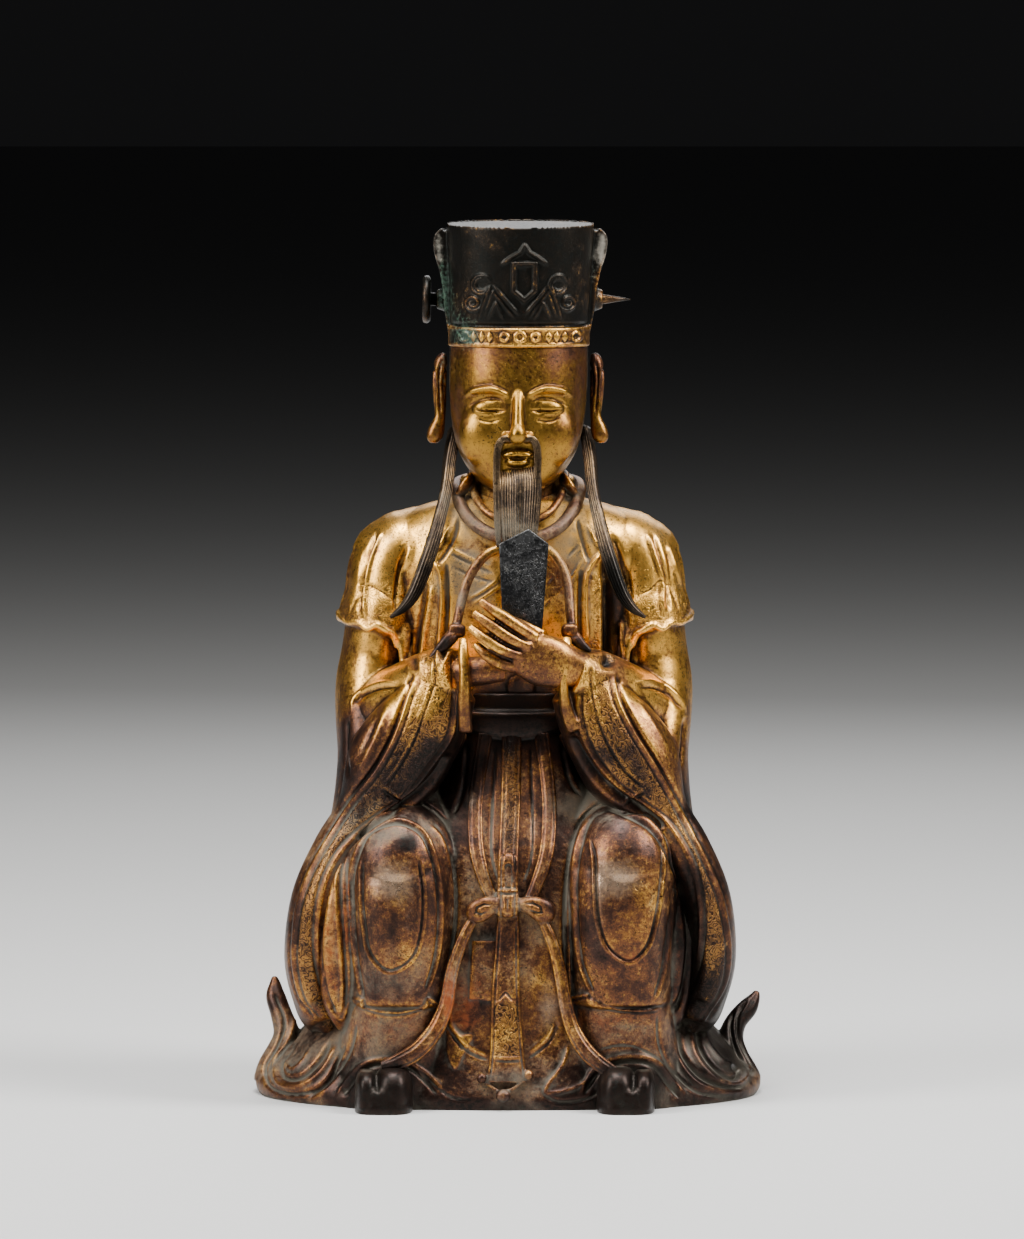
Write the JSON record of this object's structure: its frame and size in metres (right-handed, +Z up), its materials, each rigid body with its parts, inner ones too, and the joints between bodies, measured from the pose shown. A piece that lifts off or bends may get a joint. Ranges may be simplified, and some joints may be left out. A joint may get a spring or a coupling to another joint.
{
  "type": "seated official of heaven figure",
  "caption": "Seated official in flowing robes and tall hat, holding an upright tablet before the chest, with a long pin through the hat.",
  "frame": {"origin": "on the underside of the base, midway between its two sides and under the figure's body", "axes": "+Z up; the figure faces -Y; +X is the viewer's right and the figure's left"},
  "size_m": [0.3094, 0.2101, 0.5299],
  "materials": {
    "figure": "worn gilding over dark brown bronze, with dust and red lacquer in the hollows",
    "tablet": "near black, dull",
    "hat_pin": "dark brown, dull"
  },
  "bodies": {
    "root": {"figure": "figure", "tablet": "tablet", "hat_pin": "hat_pin"}
  },
  "joints": []
}
